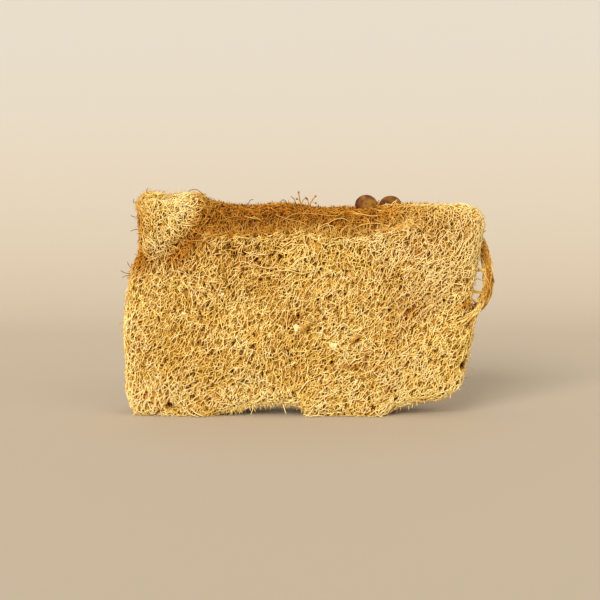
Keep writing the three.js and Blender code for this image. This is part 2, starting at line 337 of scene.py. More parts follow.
class Bundle:
    """Tubes and other closed shapes gathered for one mesh, with a tone and a stain at each vertex."""

    def __init__(self, name, tone_map="OFBake"):
        self.name = name
        self.tone_map = tone_map
        self.places = []
        self.tones = []
        self.faces = []
        self.count = 0

    def add(self, places, tones, faces):
        self.places.append(places.reshape(-1, 3))
        self.tones.append(tones.reshape(-1, 2))
        self.faces.extend(face + self.count for face in faces)
        self.count += len(self.places[-1])

    def build(self, material):
        mesh = bpy.data.meshes.new(self.name)
        places = above_ground(np.concatenate(self.places)) * MM
        corners = np.concatenate([face.ravel() for face in self.faces])
        sizes = np.concatenate([np.full(len(face), face.shape[1]) for face in self.faces])
        starts = np.concatenate([[0], np.cumsum(sizes)[:-1]])
        mesh.vertices.add(len(places))
        mesh.vertices.foreach_set("co", places.astype(np.float32).ravel())
        mesh.loops.add(len(corners))
        mesh.loops.foreach_set("vertex_index", corners.astype(np.int32))
        mesh.polygons.add(len(sizes))
        mesh.polygons.foreach_set("loop_start", starts.astype(np.int32))
        mesh.polygons.foreach_set("use_smooth", np.ones(len(sizes), bool))
        mesh.update(calc_edges=True)
        tones = np.clip(np.concatenate(self.tones), 0.01, 0.99)[corners]
        layer = mesh.uv_layers.new(name=self.tone_map)
        layer.data.foreach_set("uv", tones.astype(np.float32).ravel())
        mesh.materials.append(material)
        return add_object(self.name, mesh)


# Sides of a fibre, and how much paler its crest is than its flanks: a painted highlight on the crest and
# painted shade on the flanks
SIDES = 3
CREST_HIGHLIGHT = 0.15


def add_tubes(bundle, paths, ups, radii, tones, sides=SIDES):
    """Closed tubes along paths: (tubes, points, 3), with (tubes, points) radii and tones."""
    tubes, points = paths.shape[:2]
    along = unit(np.gradient(paths, axis=1))
    across = unit(np.cross(along, ups))
    up = np.cross(across, along)
    angle = 2 * math.pi * np.arange(sides) / sides + math.pi / 2
    ring = np.cos(angle)[:, None] * across[:, :, None] + np.sin(angle)[:, None] * up[:, :, None]
    places = paths[:, :, None] + radii[:, :, None, None] * ring
    # Painted highlight on each fibre's crest, painted shade on its flanks.
    crest = CREST_HIGHLIGHT * (np.sin(angle) - 0.25)
    tone = tones[:, :, None] + stacked(crest, np.zeros(sides))
    k = np.arange(sides)
    step = np.arange(points - 1)[:, None] * sides
    after = step + (k + 1) % sides
    quads = stacked(step + k, after, after + sides, step + sides + k).reshape(-1, 4)
    start = k[::-1]
    end = (points - 1) * sides + k
    offset = np.arange(tubes)[:, None, None] * points * sides
    bundle.add(places, tone, [(quads + offset).reshape(-1, 4), (start + offset).reshape(-1, sides),
                              (end + offset).reshape(-1, sides)])


# Pits that the fibre dips into: x, z on the front, radius and depth
PITS = [
    (-7, 49, 1.5, 1.4), (-0.5, 44.5, 1.4, 1.4), (24.5, 38, 1.3, 1.2), (12, 26.5, 1.2, 1.2),
    (17.6, 25, 0.9, 1.8), (23.6, 24.6, 0.9, 1.8), (28, 26, 0.8, 1.6), (30.6, 20.2, 0.8, 2.2),
    (32.4, 18.6, 0.7, 2), (-68.7, 5, 1.8, 3.6), (78, 25, 2.2, 4.2), (-36, 80, 1.6, 2.6), (-24, 76, 1.15, 2.4),
    (-38.4, 84.1, 1.05, 3), (-31.5, 80.4, 0.85, 2.8), (-24.6, 83.5, 0.95, 2.8), (-41.2, 80.7, 0.75, 2.6),
    (-25.9, 77.4, 0.85, 2.8), (-31.5, 72.9, 0.75, 2.4), (-15.3, 83.2, 0.85, 2.6), (-44.6, 82, 0.75, 2.6),
    (-49.6, 85.4, 0.85, 2.6), (-62.8, 95.4, 0.75, 2.4), (-68.4, 91, 0.75, 2.4), (-55.3, 73.5, 0.75, 2.4),
    (0.3, 53, 0.75, 2.8), (-4.7, 49.8, 0.75, 2.8), (21.7, 65.5, 0.95, 2.8), (16, 32.4, 0.85, 3),
    (29.2, 29.2, 0.85, 2.8), (49.5, 52.7, 0.95, 2.8), (44, 70, 0.95, 2.4), (-50, 60, 0.95, 2.4),
    (58, 44, 0.95, 2.4), (-14, 79, 0.95, 2.6), (66, 30, 0.85, 2.4), (-20, 22, 0.85, 2.4),
]


def pit_depth(points):
    x, y, z = np.moveaxis(points, -1, 0)
    rows = [(at_x, at_z, radius, radius, depth) for at_x, at_z, radius, depth in PITS]
    return forms(rows, x, z) * (y < 0)


# The way most fibres run, and how much longer than wide the gaps between them are
FLOW_ANGLE = math.radians(62)
STRETCH = 1.32

# Small pores between the fibres: size, noise levels from none to full depth, depth
PORE_SIZE = 0.72
PORE_LEVELS = (0.5, 0.85)
PORE_DEPTH = 2.7
TROUGH_SMOOTHNESS = 0.6


def squeezed(points):
    """Points with their distances along the run of the fibre made shorter by the stretch."""
    run = np.array([math.cos(FLOW_ANGLE), 0, math.sin(FLOW_ANGLE)])
    return points - (1 - 1 / STRETCH) * (points @ run)[..., None] * run


def pores(points):
    """How deep the small slanting pores between the fibres are."""
    depth = PORE_DEPTH * (1 - TROUGH_SMOOTHNESS * trough_share(points[..., 0], points[..., 2]))
    return depth * smoothstep(*PORE_LEVELS, mottle(squeezed(points), PORE_SIZE))


def dips(points):
    return pit_depth(points) + pores(points)


# How the tones of the fibre follow its height above the surface: fibre lower down and in pits and pores is
# painted darker, as painted shade
BASE_TONE = 0.695
SHADE_BY_HEIGHT = 0.17
SHADE_IN_DIPS = 0.15
PALEST = 0.92
TONE_SPREAD = 0.08
TONE_MOTTLES = [(0.08, 9), (0.05, 3.5)]
STAIN_SPREAD = 0.06
STAIN_CALM = 0.55
STAIN_DARK = 0.055

# Where the front is lighter or darker: x, z, half width, half height, amount. Most spots are the fibre's own
# tone; the one on the flap's upper right is a painted highlight, and the darker ones on the flap's left
# margin and along the lip and trough are painted shade
TONE_HIGHLIGHT_AND_SHADE_SPOTS = [
    (-60, 103, 9, 8, 0.38), (-74, 92, 10, 10, 0.06), (-84, 98, 4.5, 12, -0.25), (-83, 76, 5, 5, -0.08),
    (-74, 83, 6, 5, 0.36), (-20, 102, 34, 4, -0.08), (-28, 92, 18, 3, -0.12), (76, 96, 16, 13, 0.07),
    (56, 88, 24, 12, 0.08), (86, 76, 6, 26, 0.1), (60, 76, 28, 24, 0.2), (-87, 55, 6, 24, 0.06),
    (-30, 80, 16, 8, 0.07), (-54, 66, 16, 12, 0.03), (-46, 66, 18, 8, -0.04), (30, 60, 30, 20, 0.03),
    (50, 50, 12, 8, 0.08), (-78, 8, 18, 12, 0.12), (-30, 8, 60, 10, 0.11), (56, 15, 30, 13, 0.12),
    (-74, 84, 7, 6, 0.2),
]


def tones_at(paths, height, own):
    """Tone and stain along paths, with each strand's own share of lightness, and painted shade on fibre lower
    down and in dips.
    """
    stain = stain_and_shade_at(paths) + rng.normal(0, STAIN_SPREAD, len(paths))[:, None]
    # Painted shade: lower fibre and fibre in pits and pores is darker.
    change = SHADE_BY_HEIGHT * height - SHADE_IN_DIPS * dips(paths) + own[:, None]
    change = change + mottles(paths, TONE_MOTTLES)
    # Spots of lighter or darker tone, some of them a painted highlight or painted shade.
    spots = forms(TONE_HIGHLIGHT_AND_SHADE_SPOTS, paths[..., 0], paths[..., 2]) * front_only(paths[..., 1])
    calm = 1 - STAIN_CALM * np.clip(stain, 0, 1)
    base = BASE_TONE - STAIN_DARK * np.clip(stain, 0, 1)
    return stacked(np.minimum(base + spots + change * calm, PALEST), stain)


# How much of the fibre on the two faces lies on the front
FRONT_SHARE = 0.6

# Long strands that wander over the net
STEP = 1.9
TURN = 0.075
TURN_MEMORY = 0.75
TURN_CHANGE = 0.6
STRAND_RADIUS = (0.18, 0.32)
WAVE_LENGTH = (5, 11)
WAVE_SIZE = (0.05, 0.35)
SINK = 1.5
SINK_REACH = 1.2
UNEVEN_THICKNESS = 0.15
TIP_THIN = 0.6
TIP_LENGTH = 2.5
SLANT_SHARE = 0.3
SLANT_RISE = (80, 30)
SLANT_SPREAD = 0.35
SIDEWAYS = 0.5


def walk(start, heading, count):
    """Wandering paths on the surface, with the normal at each point."""
    point, normal = settle(start, 5)
    bend = rng.normal(0, TURN, len(start))
    path, ups = [point], [normal]
    for _ in range(count):
        heading = unit(heading - normal * np.sum(heading * normal, axis=-1, keepdims=True))
        bend = TURN_MEMORY * bend + rng.normal(0, TURN_CHANGE * TURN, len(start))
        angle = (bend * STEP)[:, None]
        heading = np.cos(angle) * heading + np.sin(angle) * np.cross(normal, heading)
        point, normal = settle(point + STEP * heading)
        path.append(point)
        ups.append(normal)
    return np.stack(path, axis=1), np.stack(ups, axis=1)


def random_headings(points):
    """Directions in the plane of the front, with a slant to the upper right low on the pad."""
    count = len(points)
    angle = rng.uniform(0, math.pi, count)
    slanted = rng.random(count) < SLANT_SHARE * (1 + smoothstep(*SLANT_RISE, points[:, 2]))
    angle = np.where(slanted, rng.normal(FLOW_ANGLE, SLANT_SPREAD, count), angle)
    flat = smoothstep(0.5, 1, trough_share(points[:, 0], points[:, 2])) > rng.random(count)
    angle = np.where(flat, rng.normal(0, SIDEWAYS, count), angle)
    sideways = rng.normal(0, SIDEWAYS, count)
    return stacked(np.cos(angle), sideways, np.sin(angle))


def add_strands(bundle, starts, count, levels, paleness=0.0, headings=None):
    """Strands of the same number of steps, at levels (low, high) above the surface."""
    if headings is None:
        headings = random_headings(starts)
    paths, ups = walk(starts, headings, count)
    tubes = len(starts)
    travelled = STEP * np.arange(count + 1)
    level = rng.uniform(*levels, tubes)[:, None]
    wave = rng.uniform(*WAVE_SIZE, tubes)[:, None]
    length = rng.uniform(*WAVE_LENGTH, tubes)[:, None]
    phase = rng.uniform(0, 2 * math.pi, tubes)[:, None]
    height = level + wave * np.sin(2 * math.pi * travelled / length + phase)
    ends = np.minimum(travelled, travelled[::-1])
    height = height - SINK * np.exp(-((ends / SINK_REACH) ** 2)) + mottles(paths, LUMPS) - dips(paths)
    thick = rng.uniform(*STRAND_RADIUS, tubes)[:, None]
    thick = thick * (1 + UNEVEN_THICKNESS * np.sin(travelled + phase))
    thick = thick * (TIP_THIN + (1 - TIP_THIN) * smoothstep(0, TIP_LENGTH, ends))
    tones = tones_at(paths, height, rng.normal(0, TONE_SPREAD, tubes) + paleness)
    add_tubes(bundle, paths + ups * height[..., None], ups, thick, tones)


def at_side(share, side, first):
    """Shares, set to 0 or 1 for the points on the first side or the one after it."""
    return np.select([side == first, side == first + 1], [0, 1], share)


def scattered(count):
    """Random places on the pad, in proportion to its faces' areas, with more on the front."""
    width, thick, height = 2 * HALF_WIDTH, 2 * HALF_THICK, HEIGHT
    areas = np.array([width * height, width * height, width * thick, width * thick,
                      thick * height, thick * height])
    areas[0] *= 2 * FRONT_SHARE
    areas[1] *= 2 * (1 - FRONT_SHARE)
    side = rng.choice(6, count, p=areas / areas.sum())
    u, v, w = rng.random((3, count))
    return on_box(at_side(u, side, 4), at_side(v, side, 0), at_side(w, side, 2))


# The nets: short strands that join evenly spread knots and leave pores between them.
# Name, spacing and levels of the knots, radius of the strands, paleness; the lower net is less pale, as
# painted shade
NETS = [
    ("net_upper", 1.36, (-0.6, 0.4), (0.175, 0.3), 0.08),
    ("net_lower", 1.58, (-1.7, -0.7), (0.22, 0.37), 0.02),
]
CANDIDATES = 60000
BACK_SPACING = 0.32
BACK_FADE = (-6, 6)
TROUGH_SPACING = -0.3
UNEVEN_SPACING = 0.14
PIECES_A_NET = 2
NET_NEIGHBOURS = 5
NET_KEEP = 0.76
FLOW_SHARE = 0.42
NET_LONGEST = 2.4
CHAIN_KNOTS = 4
CHAIN_STRAIGHTNESS = 0.25
CHAIN_BEND = 0.1
FINE_THINNING = 0.35
FINE_DEPTH = (16, 10)
NET_UNEVEN = (0.85, 1.15)
FLOW_DRIFT = 0.9


def tree_of(points):
    tree = KDTree(len(points))
    for i, point in enumerate(points):
        tree.insert(point, i)
    tree.balance()
    return tree


def fineness(points):
    """0 on most of the pad, 1 in the trough, where the net is finer."""
    return trough_share(points[..., 0], points[..., 2]) * smoothstep(*FINE_DEPTH, points[..., 1])


def spread(points, spacing):
    """The points, thinned out until they stand about the spacing apart."""
    gaps = spacing / math.sqrt(STRETCH) * (1 + BACK_SPACING * smoothstep(*BACK_FADE, points[:, 1]))
    gaps = gaps * (1 + TROUGH_SPACING * fineness(points) + UNEVEN_SPACING * mottle(points, 11))
    places = squeezed(points)
    tree = tree_of(places)
    kept = np.ones(len(points), bool)
    for i, point in enumerate(places):
        if kept[i]:
            for _, other, _ in tree.find_range(point, gaps[i]):
                kept[other] = kept[other] and other <= i
    return points[kept]


def flow(points):
    """The way that most fibres run at points of the front: steep, and drifting from place to place."""
    angle = FLOW_ANGLE + FLOW_DRIFT * mottle(points, 22)
    return stacked(np.cos(angle), np.zeros_like(angle), np.sin(angle))


def net_links(knots, longest):
    """Pairs of neighbouring knots, in random order, with more of those that lie along the flow."""
    places = squeezed(knots)
    tree = tree_of(places)
    links = set()
    for i, place in enumerate(places):
        for _, other, gap in tree.find_n(place, NET_NEIGHBOURS + 1):
            if other != i and gap < longest:
                links.add((min(i, other), max(i, other)))
    links = np.array(sorted(links))
    first, last = knots[links[:, 0]], knots[links[:, 1]]
    along = np.sum(unit(last - first) * flow(first), axis=-1) ** 2
    keep = NET_KEEP * (1 + FLOW_SHARE * (2 * along - 1))
    return rng.permutation(links[rng.random(len(links)) < keep])


def chains_of(knots, links):
    """Links joined into chains that run on as straight as they can: {knots in a chain: chains}."""
    ways = [[] for _ in knots]
    for number, (a, b) in enumerate(links):
        ways[a].append((b, number))
        ways[b].append((a, number))
    places = knots.tolist()
    used = [False] * len(links)
    chains = {}
    for number, (a, b) in enumerate(links.tolist()):
        if used[number]:
            continue
        used[number] = True
        chain = [a, b]
        while len(chain) < CHAIN_KNOTS:
            before, here = Vector(places[chain[-2]]), Vector(places[chain[-1]])
            heading = (here - before).normalized()
            best, way = CHAIN_STRAIGHTNESS, None
            for other, link in ways[chain[-1]]:
                straight = 0 if used[link] else heading.dot((Vector(places[other]) - here).normalized())
                if straight > best:
                    best, way = straight, (other, link)
            if way is None:
                break
            chain.append(way[0])
            used[way[1]] = True
        chains.setdefault(len(chain), []).append(chain)
    return chains


def with_middles(values):
    """Values along chains, with a smooth middle value put in between each two."""
    first, last = 2 * values[:, :1] - values[:, 1:2], 2 * values[:, -1:] - values[:, -2:-1]
    padded = np.concatenate([first, values, last], axis=1)
    middles = (9 * (padded[:, 1:-2] + padded[:, 2:-1]) - padded[:, :-3] - padded[:, 3:]) / 16
    joined = np.empty((values.shape[0], 2 * values.shape[1] - 1) + values.shape[2:])
    joined[:, ::2] = values
    joined[:, 1::2] = middles
    return joined


def add_net(bundles, spacing, levels, radii, paleness):
    """A net of chains, shared out over the bundles."""
    knots, _ = settle(scattered(CANDIDATES), 5)
    knots = spread(knots, spacing)
    level = rng.uniform(*levels, len(knots))
    chains = chains_of(knots, net_links(knots, NET_LONGEST * spacing))
    for _, group in sorted(chains.items()):
        group = np.array(group)
        paths = with_middles(knots[group])
        bend = rng.normal(0, CHAIN_BEND * spacing, paths.shape[:2] + (1,))
        bend[:, ::2] = 0
        paths, ups = settle(paths, 1)
        paths = paths + bend * np.cross(unit(np.gradient(paths, axis=1)), ups)
        height = with_middles(level[group]) + mottles(paths, LUMPS) - dips(paths)
        thick = rng.uniform(*radii, len(group))[:, None] * (1 - FINE_THINNING * fineness(paths))
        thick = thick * rng.uniform(*NET_UNEVEN, thick.shape)
        tones = tones_at(paths, height, rng.normal(0, TONE_SPREAD, len(group)) + paleness)
        paths = paths + ups * height[..., None]
        for bundle, some in zip(bundles, np.array_split(np.arange(len(group)), len(bundles))):
            add_tubes(bundle, paths[some], ups[some], thick[some], tones[some])


# Layers of longer strands: name, [(strands, steps)], levels, paleness; the middle layer is less pale than the
# top one, as painted shade
LAYERS = [
    ("strands_middle", [(2600, 2), (1500, 3)], (-0.7, 0.3), 0.02),
    ("strands_top", [(2600, 2), (1500, 3), (320, 5), (40, 10)], (-0.1, 0.7), 0.06),
]


def on_front(x, z, lift=0.0):
    """Places on the front face, or lifted off it."""
    return stacked(x, front_face(x, z) - lift, z)


# Patches of long loose straws over the net: x, z, half width, half height, strands, direction
STRAW_PATCHES = [
    (-71, 96, 14, 13, 95, -35), (-40, 88, 16, 4, 34, 20), (-30, 78, 22, 9, 60, 35),
    (10, 88, 34, 3, 50, 30), (56, 96, 26, 5, 44, -15), (-66, 68, 20, 5, 34, 15),
    (10, 45, 60, 30, 90, 62), (-64, 103, 10, 6, 45, 15),
]
STRAW_STEPS = (2, 3, 5)
STRAW_LEVELS = (0.3, 1.0)
STRAW_PALENESS = 0.06
STRAW_SPREAD = 0.6


def add_straws(bundle):
    for x, z, wide, tall, strands, slant in STRAW_PATCHES:
        for steps in STRAW_STEPS:
            count = strands // len(STRAW_STEPS)
            at_x = x + wide * rng.uniform(-1, 1, count)
            at_z = z + tall * rng.uniform(-1, 1, count)
            angle = rng.normal(math.radians(slant), STRAW_SPREAD, count)
            headings = stacked(np.cos(angle), np.zeros(count), np.sin(angle))
            add_strands(bundle, on_front(at_x, at_z), steps, STRAW_LEVELS, STRAW_PALENESS, headings)


def build_net(material):
    bundles = []
    for name, spacing, levels, radii, paleness in NETS:
        nets = [Bundle(f"{name}_{i}") for i in range(PIECES_A_NET)]
        add_net(nets, spacing, levels, radii, paleness)
        bundles += nets
    for name, groups, levels, paleness in LAYERS:
        layer = Bundle(name)
        for strands, steps in groups:
            add_strands(layer, scattered(strands), steps, levels, paleness)
        bundles.append(layer)
    add_straws(bundles[-1])
    return [bundle.build(material) for bundle in bundles]


# Hairs: the loose ends of fibre that stand off the surface
HAIR_SEGMENTS = 4
HAIR_ROOT = 1.2
HAIR_RADIUS = (0.13, 0.24)
HAIR_TAPER = (1.15, 0.4)
HAIR_CURL_SPREAD = 0.4
HAIR_TONE_SPREAD = 0.1
HAIR_STAIN = 0.1
HAIR_STAIN_SPREAD = 0.12


def add_hairs(bundle, roots, headings, lengths, curl, lightness=0.66, radius=HAIR_RADIUS, stain=None):
    """Curved tapering hairs that leave roots along headings and bend by about curl radians."""
    count = len(roots)
    heading = unit(headings)
    axis = unit(np.cross(heading, rng.normal(size=(count, 3))))
    angle = (rng.normal(curl, HAIR_CURL_SPREAD * curl, count) / HAIR_SEGMENTS)[:, None]
    step = ((lengths + HAIR_ROOT) / HAIR_SEGMENTS)[:, None]
    point = roots - heading * HAIR_ROOT
    path = [point]
    for _ in range(HAIR_SEGMENTS):
        point = point + heading * step
        heading = unit(np.cos(angle) * heading + np.sin(angle) * np.cross(axis, heading))
        path.append(point)
    paths = np.stack(path, axis=1)
    ups = np.broadcast_to(axis[:, None], paths.shape)
    thick = rng.uniform(*radius, count)[:, None] * np.linspace(*HAIR_TAPER, HAIR_SEGMENTS + 1)
    tone = lightness + rng.normal(0, HAIR_TONE_SPREAD, count)[:, None] + np.zeros(HAIR_SEGMENTS + 1)
    if stain is None:
        stains = stain_and_shade_at(paths) + HAIR_STAIN
    else:
        stains = stain + rng.normal(0, HAIR_STAIN_SPREAD, count)[:, None] + np.zeros_like(tone)
    add_tubes(bundle, paths, ups, thick, stacked(tone, stains))


FUZZ_COUNT = 2300
EDGE_HAIRS = 520
FLAP_CURLS = 200
LIP_CURLS = 320
LIP_CURL_SCATTER = 1.8
LIP_CURL_STAIN = (0.3, 0.45)
RIM_STUBS = 260
FRINGE_COUNT = 300
ARCH_SHARE = 0.6

# Ends along the flap's upper edge: how many, from and to which x, lean to the side
FLAP_EDGES = [(170, (-88, -77), -0.5), (150, (-78, -50), 0.1)]


def grow_hairs(bundle, places, passes, spread, lengths, curl, out=1.0, lean=(0, 0, 0), **look):
    """Hairs from the surface near places, that lean out, along a direction, and at random."""
    roots, normal = settle(places, passes)
    headings = out * normal + np.array(lean) + rng.normal(0, spread, roots.shape)
    add_hairs(bundle, roots, headings, rng.uniform(*lengths, len(roots)), curl, **look)


def add_fuzz(bundle):
    """Short ends all over the pad."""
    grow_hairs(bundle, scattered(FUZZ_COUNT), 5, spread=0.75, lengths=(0.7, 2.4), curl=0.9)


def add_edge_hairs(bundle):
    """Frayed ends round the outline of the pad."""
    share = rng.uniform(0, 1, EDGE_HAIRS)
    side = rng.integers(0, 4, EDGE_HAIRS)
    deep = rng.uniform(0.05, 0.8, EDGE_HAIRS)
    places = on_box(at_side(share, side, 0), deep, at_side(share, side, 2))
    grow_hairs(bundle, places, 5, spread=0.6, lengths=(0.8, 2.6), curl=1.1, lightness=0.42)


def add_flap_curls(bundle):
    """Pale ragged ends all over the folded corner."""
    x = rng.uniform(-86, -55, FLAP_CURLS)
    z = rng.uniform(80, 110, FLAP_CURLS)
    keep = valley_share(x, z) < 0.5
    grow_hairs(bundle, on_front(x[keep], z[keep]), 6, spread=0.9, lengths=(1.6, 4.2), curl=1.2, out=0.7,
               lightness=0.8, radius=(0.2, 0.31))


def add_flap_edge(bundle):
    """Ends that fray out of the flap's upper corner and square it off, and along its top."""
    for ends, span, lean in FLAP_EDGES:
        places = [rng.uniform(*reach, ends) for reach in (span, (-13, 8), (101, 110))]
        grow_hairs(bundle, np.stack(places, axis=-1), 6, spread=0.5, lengths=(0.9, 3.0), curl=1.2, out=0.3,
                   lean=(lean, -0.2, 0.6), lightness=0.6, stain=0.3)


def add_lip_curls(bundle):
    """Ends that stand up and curl over along the lip of the front wall."""
    x = rng.uniform(-50, 54, LIP_CURLS)
    z = lip_line(x) + rng.normal(0, LIP_CURL_SCATTER, LIP_CURLS)
    pale, brown = LIP_CURL_STAIN
    stain = (pale + brown * smoothstep(0, -14, x))[:, None]
    grow_hairs(bundle, on_front(x, z), 4, spread=0.5, lengths=(1.5, 5.5), curl=1.4, out=0.5,
               lean=(0, 0.1, 0.8), lightness=0.68, radius=(0.15, 0.26), stain=stain)


def add_rim_stubs(bundle):
    """Short dark stubs that stand up along the top edge."""
    x = rng.uniform(-54, 60, RIM_STUBS)
    places = stacked(x, rng.uniform(-2, 10, RIM_STUBS), top_edge(x))
    grow_hairs(bundle, places, 4, spread=0.45, lengths=(0.6, 1.8), curl=0.6, lightness=0.28,
               radius=(0.16, 0.28))


def add_fringe(bundle):
    """Ends that hang along the bottom edge, thickest round the shallow arch."""
    x = np.where(rng.random(FRINGE_COUNT) < ARCH_SHARE, rng.uniform(-42, 10, FRINGE_COUNT),
                 rng.uniform(-86, 78, FRINGE_COUNT))
    places = stacked(x, rng.uniform(-16, -6, FRINGE_COUNT), bottom_edge(x) + 1)
    grow_hairs(bundle, places, 4, spread=0.4, lengths=(1.0, 3.2), curl=0.5, out=0.0, lean=(0, -0.5, -1),
               lightness=0.84, radius=(0.18, 0.3))


# Single fibres that show by themselves on the front, as points (x, z, height above the face),
# with radius, tone and stain
FRONT_STRANDS = [
    ([(-31.5, 98.5, 0.3), (-27, 97.4, 1.2), (-23, 97, 0.3)], 0.26, 0.66, 0.35),
    ([(-30, 97.4, 0.3), (-26, 98, 1), (-22.6, 95.6, 0.3)], 0.24, 0.66, 0.35),
    ([(-12, 97, 0), (-6, 99.8, 0.8), (4, 99.6, 1), (14, 98.8, 1), (18.5, 101.5, 0.3)], 0.22, 0.6, 0.45),
    ([(-16, 99, 0), (-10, 97, 0.8), (-2, 95, 1.5), (3.5, 91, 0.6)], 0.24, 0.62, 0.4),
    ([(-44, 96, 0), (-38, 98, 0.7), (-33, 98.6, 0)], 0.2, 0.56, 0.6),
    ([(8, 93, 0.4), (12, 96.4, 1), (17, 97.5, 1), (21, 95.5, 0.3)], 0.3, 0.7, 0.35),
    ([(22, 92, 0.4), (27, 94.4, 1), (34, 95, 1), (40, 93.6, 0.3)], 0.32, 0.72, 0.3),
    ([(1.5, 89, 0.5), (5, 92.6, 1.4), (9.4, 95, 2), (11, 92, 2), (10.6, 88, 0.8)], 0.3, 0.76, 0.16),
    ([(4, 91, 0.5), (8, 93.4, 1.6), (12, 93.8, 1.8), (13.6, 90.4, 0.6)], 0.26, 0.74, 0.18),
    ([(15, 88.6, 0.5), (17, 92.4, 1.4), (20.6, 94, 1.8), (22.6, 91.4, 0.6)], 0.26, 0.74, 0.18),
    ([(24, 88, 0.5), (26, 91.2, 1.6), (30, 92.4, 1.6), (32, 89.6, 0.5)], 0.26, 0.72, 0.2),
    ([(-27, 75.5, 0.4), (-20, 73.6, 1.2), (-13, 74.2, 1.2), (-6, 72.8, 0.4)], 0.3, 0.8, 0.08),
    ([(-16, 72, 0.4), (-10, 72.6, 1.2), (-3, 71, 1.1), (2, 72, 0.4)], 0.28, 0.78, 0.08),
    ([(20, 62, 0.4), (24, 66, 1), (27, 71, 1), (28, 76, 0.4)], 0.26, 0.76, 0.1),
    ([(-2, 60, 0.4), (1, 65, 1), (6, 69, 1), (12, 71.6, 0.4)], 0.24, 0.74, 0.1),
    ([(10, 37, 0.4), (13, 33.6, 1.4), (17, 31, 1.2), (18, 27.6, 0.4)], 0.3, 0.9, 0.02),
    ([(14, 38, 0.4), (16, 34.6, 1.4), (19.6, 32, 1.2), (20, 29, 0.4)], 0.26, 0.88, 0.02),
    ([(-2, 2, 1.4), (1, 1, 2), (4, 1.4, 2), (8, 0.6, 1.4)], 0.34, 0.86, 0.02),
    ([(2.6, 5, 1), (1, 2.6, 1.8), (-1.4, 0.8, 1.8)], 0.32, 0.86, 0.02),
    ([(5.4, 4, 1), (5, 2, 1.8), (3.4, 0.6, 1.8)], 0.32, 0.84, 0.02),
    ([(-12.4, 7, 0.5), (-11.6, 4.6, 1), (-10.8, 2.2, 1.2)], 0.3, 0.88, 0.01),
    ([(-27, 6, 0.5), (-27.4, 3.6, 1), (-28.2, 1.6, 1.2)], 0.26, 0.84, 0.02),
    ([(-84, 4, 0.8), (-85.4, 1.8, 1.4), (-86.6, 0.6, 1.6)], 0.28, 0.86, 0.01),
    ([(-70.4, 4.6, 0.8), (-70, 2, 1.6), (-68.6, 0.6, 1.8)], 0.3, 0.86, 0.01),
    ([(-58, 5, 0.8), (-55, 2.4, 1.6), (-51, 0.8, 1.8)], 0.34, 0.88, 0.01),
    ([(-60, 4, 0.8), (-57.4, 1.8, 1.6), (-53.6, 0.6, 1.8)], 0.3, 0.86, 0.01),
    ([(33, 3, 0.8), (34.6, 1.2, 1.6), (37, 0.4, 1.8)], 0.28, 0.86, 0.01),
]
SEED_STRANDS = [
    ([(34, -2.5, 101.5), (37, -3.4, 101), (42, -3.4, 101.4), (47, -2.5, 103.4)], 0.32, 0.78, 0.15),
    ([(38.5, -2, 105), (39.6, -3, 103), (40.5, -3.6, 100.4)], 0.28, 0.78, 0.15),
    ([(42.5, -2.6, 101), (45, -2.6, 103.8), (48.5, -1, 105.2)], 0.3, 0.74, 0.2),
    ([(22, -4, 100), (27, -4.6, 99.4), (31, -5, 98.6), (36, -5, 98.8)], 0.32, 0.72, 0.3),
    ([(43, -1.6, 105.4), (46, -2.6, 103), (50, -4, 99.5)], 0.3, 0.76, 0.15),
    ([(44, -1, 106), (42.8, -2.4, 104.2), (43.4, -3.4, 101)], 0.26, 0.72, 0.2),
    ([(36.5, -2, 103.6), (39.4, -3, 104.4), (42.6, -2.8, 103.4), (45.4, -2.4, 101)], 0.28, 0.78, 0.15),
    ([(40, -2.4, 101), (41.6, -2.8, 104.6), (44.4, -1.6, 106.6)], 0.28, 0.8, 0.12),
    ([(33.4, 2, 100), (34.6, 1.6, 103.4), (35.4, 2, 106.4)], 0.36, 0.42, 0.7),
    ([(36.8, 2, 100), (35.8, 1.4, 103), (34.6, 1.8, 105.8)], 0.36, 0.42, 0.7),
]
STRAYS = [
    ([(-61, 2, 108.6), (-58.6, 1, 111.2), (-55.6, 1, 111.6), (-52, 2, 109)], 0.2, 0.16, 0.7),
    ([(-87, -4, 70), (-90.6, -5, 70.4), (-92.8, -5.6, 71.6)], 0.2, 0.16, 0.7),
    ([(-87, -3, 69), (-90.4, -4, 69), (-92.2, -4, 68)], 0.2, 0.16, 0.7),
    ([(-85, -5, 72), (-88.2, -6, 73.6), (-89.4, -6, 76)], 0.2, 0.16, 0.7),
    ([(-82, -3, 92), (-86.2, -4, 91.8), (-87.8, -4, 91)], 0.2, 0.18, 0.7),
    ([(-83, -4, 98), (-86.2, -5, 98.2), (-87.6, -5, 99)], 0.2, 0.16, 0.7),
    ([(-84, -3, 104), (-86.4, -4, 105.4), (-86, -4, 107)], 0.2, 0.16, 0.7),
    ([(-79.4, -3, 108), (-79.8, -4, 111), (-79, -4, 112.4)], 0.2, 0.16, 0.7),
    ([(-91, 0, 46), (-93.4, -1, 45.2), (-94.4, -1, 44)], 0.22, 0.55, 0.2),
    ([(-91, 2, 40), (-93.2, 1, 40.8), (-93.8, 1, 42.4)], 0.2, 0.55, 0.2),
    ([(77, 0, 18), (80.4, -1, 17.4), (82, -1, 19.4)], 0.22, 0.6, 0.2),
    ([(76, 2, 15), (78.8, 1, 13), (80.4, 1, 13.6)], 0.2, 0.6, 0.2),
    ([(78, -2, 22), (81.4, -3, 23.2), (82.4, -3, 21.8)], 0.2, 0.6, 0.2),
    ([(64, -4, 8.5), (65.4, -6, 6.6), (67.6, -6, 6)], 0.22, 0.7, 0.1),
    ([(-30, 3, 103), (-29, 2, 106.2), (-27.2, 2, 106.6)], 0.2, 0.16, 0.7),
    ([(-5.6, 2, 103), (-7, 1, 107), (-8.6, 1, 108.2)], 0.24, 0.18, 0.7),
    ([(-10, 2, 103.4), (-11.6, 1, 106.4), (-13.4, 1, 106.2)], 0.24, 0.18, 0.7),
]
